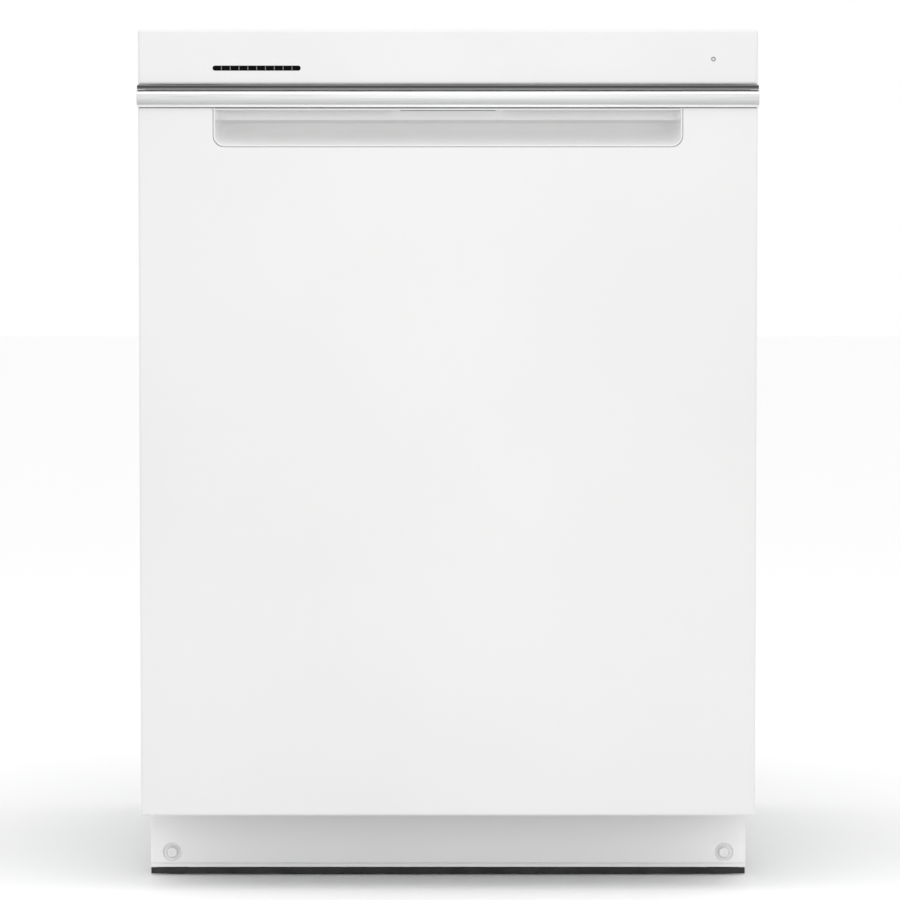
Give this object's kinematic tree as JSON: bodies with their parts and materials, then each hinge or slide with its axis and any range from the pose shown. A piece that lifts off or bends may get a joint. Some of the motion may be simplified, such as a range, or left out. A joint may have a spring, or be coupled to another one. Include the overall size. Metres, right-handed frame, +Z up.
{
  "type": "built-in dishwasher",
  "caption": "Built-in dishwasher with a drop-down door, full-width grip strip over a pocket handle, sliding racks, spray arms, filter, recessed toe panel and levelling feet.",
  "frame": {"origin": "on the floor under the middle of the whole object's box", "axes": "+Z up, -Y out of the door's front face, +X to the right seen from the front"},
  "size_m": [0.606, 0.622, 0.845],
  "materials": {
    "white_enamel": "smooth gloss white enamel",
    "white_plastic": "white moulded plastic",
    "satin_trim": "satin bright trim",
    "stainless": "brushed stainless",
    "galvanised": "zinc coated sheet",
    "tub_grey": "speckled grey moulding",
    "pale_grey_plastic": "pale grey moulding",
    "nylon_wire": "nylon coated wire",
    "dark_plastic": "dark moulding",
    "black_rubber": "soft black seal",
    "black_grille": "black slots",
    "smoke_lens": "small clear lens",
    "blue_plastic": "blue grey moulding",
    "felt_blanket": "needled fibre blanket"
  },
  "bodies": {
    "cabinet": {"tub": "tub_grey", "tub_gasket": "black_rubber", "insulation_blanket": "felt_blanket", "base_tray": "dark_plastic", "door_strike": "galvanised", "toe_panel": "white_enamel", "kick_plate": "white_enamel", "toe_seal": "black_rubber", "sump": "dark_plastic", "circulation_pump": "dark_plastic", "drain_pump": "dark_plastic", "inlet_valve": "pale_grey_plastic", "junction_box": "galvanised", "heater_element": "stainless", "feed_tube": "pale_grey_plastic", "side_frame_left": "galvanised", "mounting_bracket_left": "galvanised", "toe_screw_left": "white_enamel", "rack_rail_left": "stainless", "door_spring_left": "galvanised", "side_frame_right": "galvanised", "mounting_bracket_right": "galvanised", "toe_screw_right": "white_enamel", "rack_rail_right": "stainless", "door_spring_right": "galvanised"},
    "door": {"door_panel": "white_enamel", "control_fascia": "white_plastic", "control_panel": "pale_grey_plastic", "vent_grille": "black_grille", "status_lens": "smoke_lens", "grip_strip": "satin_trim", "handle_pocket": "white_plastic", "door_liner": "stainless", "dispenser_body": "pale_grey_plastic", "door_latch": "dark_plastic", "hinge_arm_left": "galvanised", "hinge_arm_right": "galvanised"},
    "paddle": {"latch_paddle": "pale_grey_plastic"},
    "dispenser_cover": {"dispenser_lid": "white_plastic"},
    "rinse_aid_cap": {"rinse_cap": "blue_plastic"},
    "lower_basket": {"lower_rack": "nylon_wire", "silverware_basket": "pale_grey_plastic"},
    "plate_tines": {"fold_tines": "nylon_wire"},
    "upper_basket": {"upper_rack": "nylon_wire"},
    "shelf": {"cup_shelf": "nylon_wire"},
    "lower_arm": {"lower_spray_arm": "pale_grey_plastic"},
    "upper_arm": {"upper_spray_arm": "pale_grey_plastic"},
    "filter": {"filter_cup": "pale_grey_plastic"},
    "overfill_float": {"float_dome": "pale_grey_plastic"},
    "start_key": {"key_start": "white_plastic"},
    "cycle_key": {"key_cycle": "white_plastic"},
    "options_key": {"key_options": "white_plastic"},
    "rack_wheel_front_left": {"wheel_front_left": "pale_grey_plastic"},
    "rack_wheel_front_right": {"wheel_front_right": "pale_grey_plastic"},
    "rack_wheel_rear_left": {"wheel_rear_left": "pale_grey_plastic"},
    "rack_wheel_rear_right": {"wheel_rear_right": "pale_grey_plastic"},
    "leveling_foot_front_left": {"foot_front_left": "dark_plastic"},
    "leveling_foot_front_right": {"foot_front_right": "dark_plastic"},
    "leveling_foot_rear_left": {"foot_rear_left": "dark_plastic"},
    "leveling_foot_rear_right": {"foot_rear_right": "dark_plastic"}
  },
  "joints": [
    {"name": "door_hinge", "type": "hinge", "parent": "cabinet", "child": "door", "pos_m": [0, -0.264, 0.106], "axis": [1, 0, 0], "range_deg": [0, 90]},
    {"name": "latch_pull", "type": "hinge", "parent": "door", "child": "paddle", "pos_m": [0, -0.2955, 0.78], "axis": [-1, 0, 0], "range_deg": [0, 12], "stiffness_Nm_per_rad": 0.4, "springref_deg": -5.73},
    {"name": "lid_slide", "type": "slide", "parent": "door", "child": "dispenser_cover", "axis": [1, 0, 0], "range_m": [0, 0.066]},
    {"name": "rinse_cap_turn", "type": "hinge", "parent": "door", "child": "rinse_aid_cap", "pos_m": [-0.028, -0.2497, 0.49], "axis": [0, 1, 0], "range_deg": [0, 90]},
    {"name": "lower_rack_slide", "type": "slide", "parent": "cabinet", "child": "lower_basket", "axis": [0, -1, 0], "range_m": [0, 0.16]},
    {"name": "tines_fold", "type": "hinge", "parent": "lower_basket", "child": "plate_tines", "pos_m": [0, 0.1, 0.1755], "axis": [-1, 0, 0], "range_deg": [0, 80]},
    {"name": "upper_rack_slide", "type": "slide", "parent": "cabinet", "child": "upper_basket", "axis": [0, -1, 0], "range_m": [0, 0.46]},
    {"name": "shelf_fold", "type": "hinge", "parent": "upper_basket", "child": "shelf", "pos_m": [-0.239, 0, 0.552], "axis": [0, -1, 0], "range_deg": [0, 85]},
    {"name": "lower_arm_spin", "type": "hinge", "parent": "cabinet", "child": "lower_arm", "pos_m": [0, 0.02, 0.141], "axis": [0, 0, 1], "continuous": true},
    {"name": "upper_arm_spin", "type": "hinge", "parent": "upper_basket", "child": "upper_arm", "pos_m": [0, 0.008, 0.453], "axis": [0, 0, 1], "continuous": true},
    {"name": "filter_turn", "type": "hinge", "parent": "cabinet", "child": "filter", "pos_m": [0.048, 0.02, 0.1], "axis": [0, 0, 1], "range_deg": [0, 90]},
    {"name": "float_rise", "type": "slide", "parent": "cabinet", "child": "overfill_float", "axis": [0, 0, 1], "range_m": [0, 0.01]},
    {"name": "start_key_press", "type": "slide", "parent": "door", "child": "start_key", "axis": [0, 0, -1], "range_m": [0, 0.0006], "stiffness_N_per_m": 400, "springref_m": -0.0005},
    {"name": "cycle_key_press", "type": "slide", "parent": "door", "child": "cycle_key", "axis": [0, 0, -1], "range_m": [0, 0.0006], "stiffness_N_per_m": 400, "springref_m": -0.0005},
    {"name": "options_key_press", "type": "slide", "parent": "door", "child": "options_key", "axis": [0, 0, -1], "range_m": [0, 0.0006], "stiffness_N_per_m": 400, "springref_m": -0.0005},
    {"name": "wheel_front_left_roll", "type": "hinge", "parent": "lower_basket", "child": "rack_wheel_front_left", "pos_m": [-0.2585, -0.108, 0.1328], "axis": [1, 0, 0], "range_deg": [0, 570]},
    {"name": "wheel_front_right_roll", "type": "hinge", "parent": "lower_basket", "child": "rack_wheel_front_right", "pos_m": [0.2585, -0.108, 0.1328], "axis": [1, 0, 0], "range_deg": [0, 570]},
    {"name": "wheel_rear_left_roll", "type": "hinge", "parent": "lower_basket", "child": "rack_wheel_rear_left", "pos_m": [-0.2585, 0.19, 0.1328], "axis": [1, 0, 0], "range_deg": [0, 570]},
    {"name": "wheel_rear_right_roll", "type": "hinge", "parent": "lower_basket", "child": "rack_wheel_rear_right", "pos_m": [0.2585, 0.19, 0.1328], "axis": [1, 0, 0], "range_deg": [0, 570]},
    {"name": "foot_front_left_screw_down", "type": "slide", "parent": "cabinet", "child": "leveling_foot_front_left", "axis": [0, 0, -1], "range_m": [0, 0.03]},
    {"name": "foot_front_right_screw_down", "type": "slide", "parent": "cabinet", "child": "leveling_foot_front_right", "axis": [0, 0, -1], "range_m": [0, 0.03]},
    {"name": "foot_rear_left_screw_down", "type": "slide", "parent": "cabinet", "child": "leveling_foot_rear_left", "axis": [0, 0, -1], "range_m": [0, 0.03]},
    {"name": "foot_rear_right_screw_down", "type": "slide", "parent": "cabinet", "child": "leveling_foot_rear_right", "axis": [0, 0, -1], "range_m": [0, 0.03]}
  ],
  "couplings": [
    {"joint": "lower_rack_slide", "follows": "door_hinge", "m_per_rad": 0.098},
    {"joint": "upper_rack_slide", "follows": "door_hinge", "m_per_rad": 0.29},
    {"joint": "wheel_front_left_roll", "follows": "door_hinge", "ratio": 6.125},
    {"joint": "wheel_front_right_roll", "follows": "door_hinge", "ratio": 6.125},
    {"joint": "wheel_rear_left_roll", "follows": "door_hinge", "ratio": 6.125},
    {"joint": "wheel_rear_right_roll", "follows": "door_hinge", "ratio": 6.125}
  ]
}
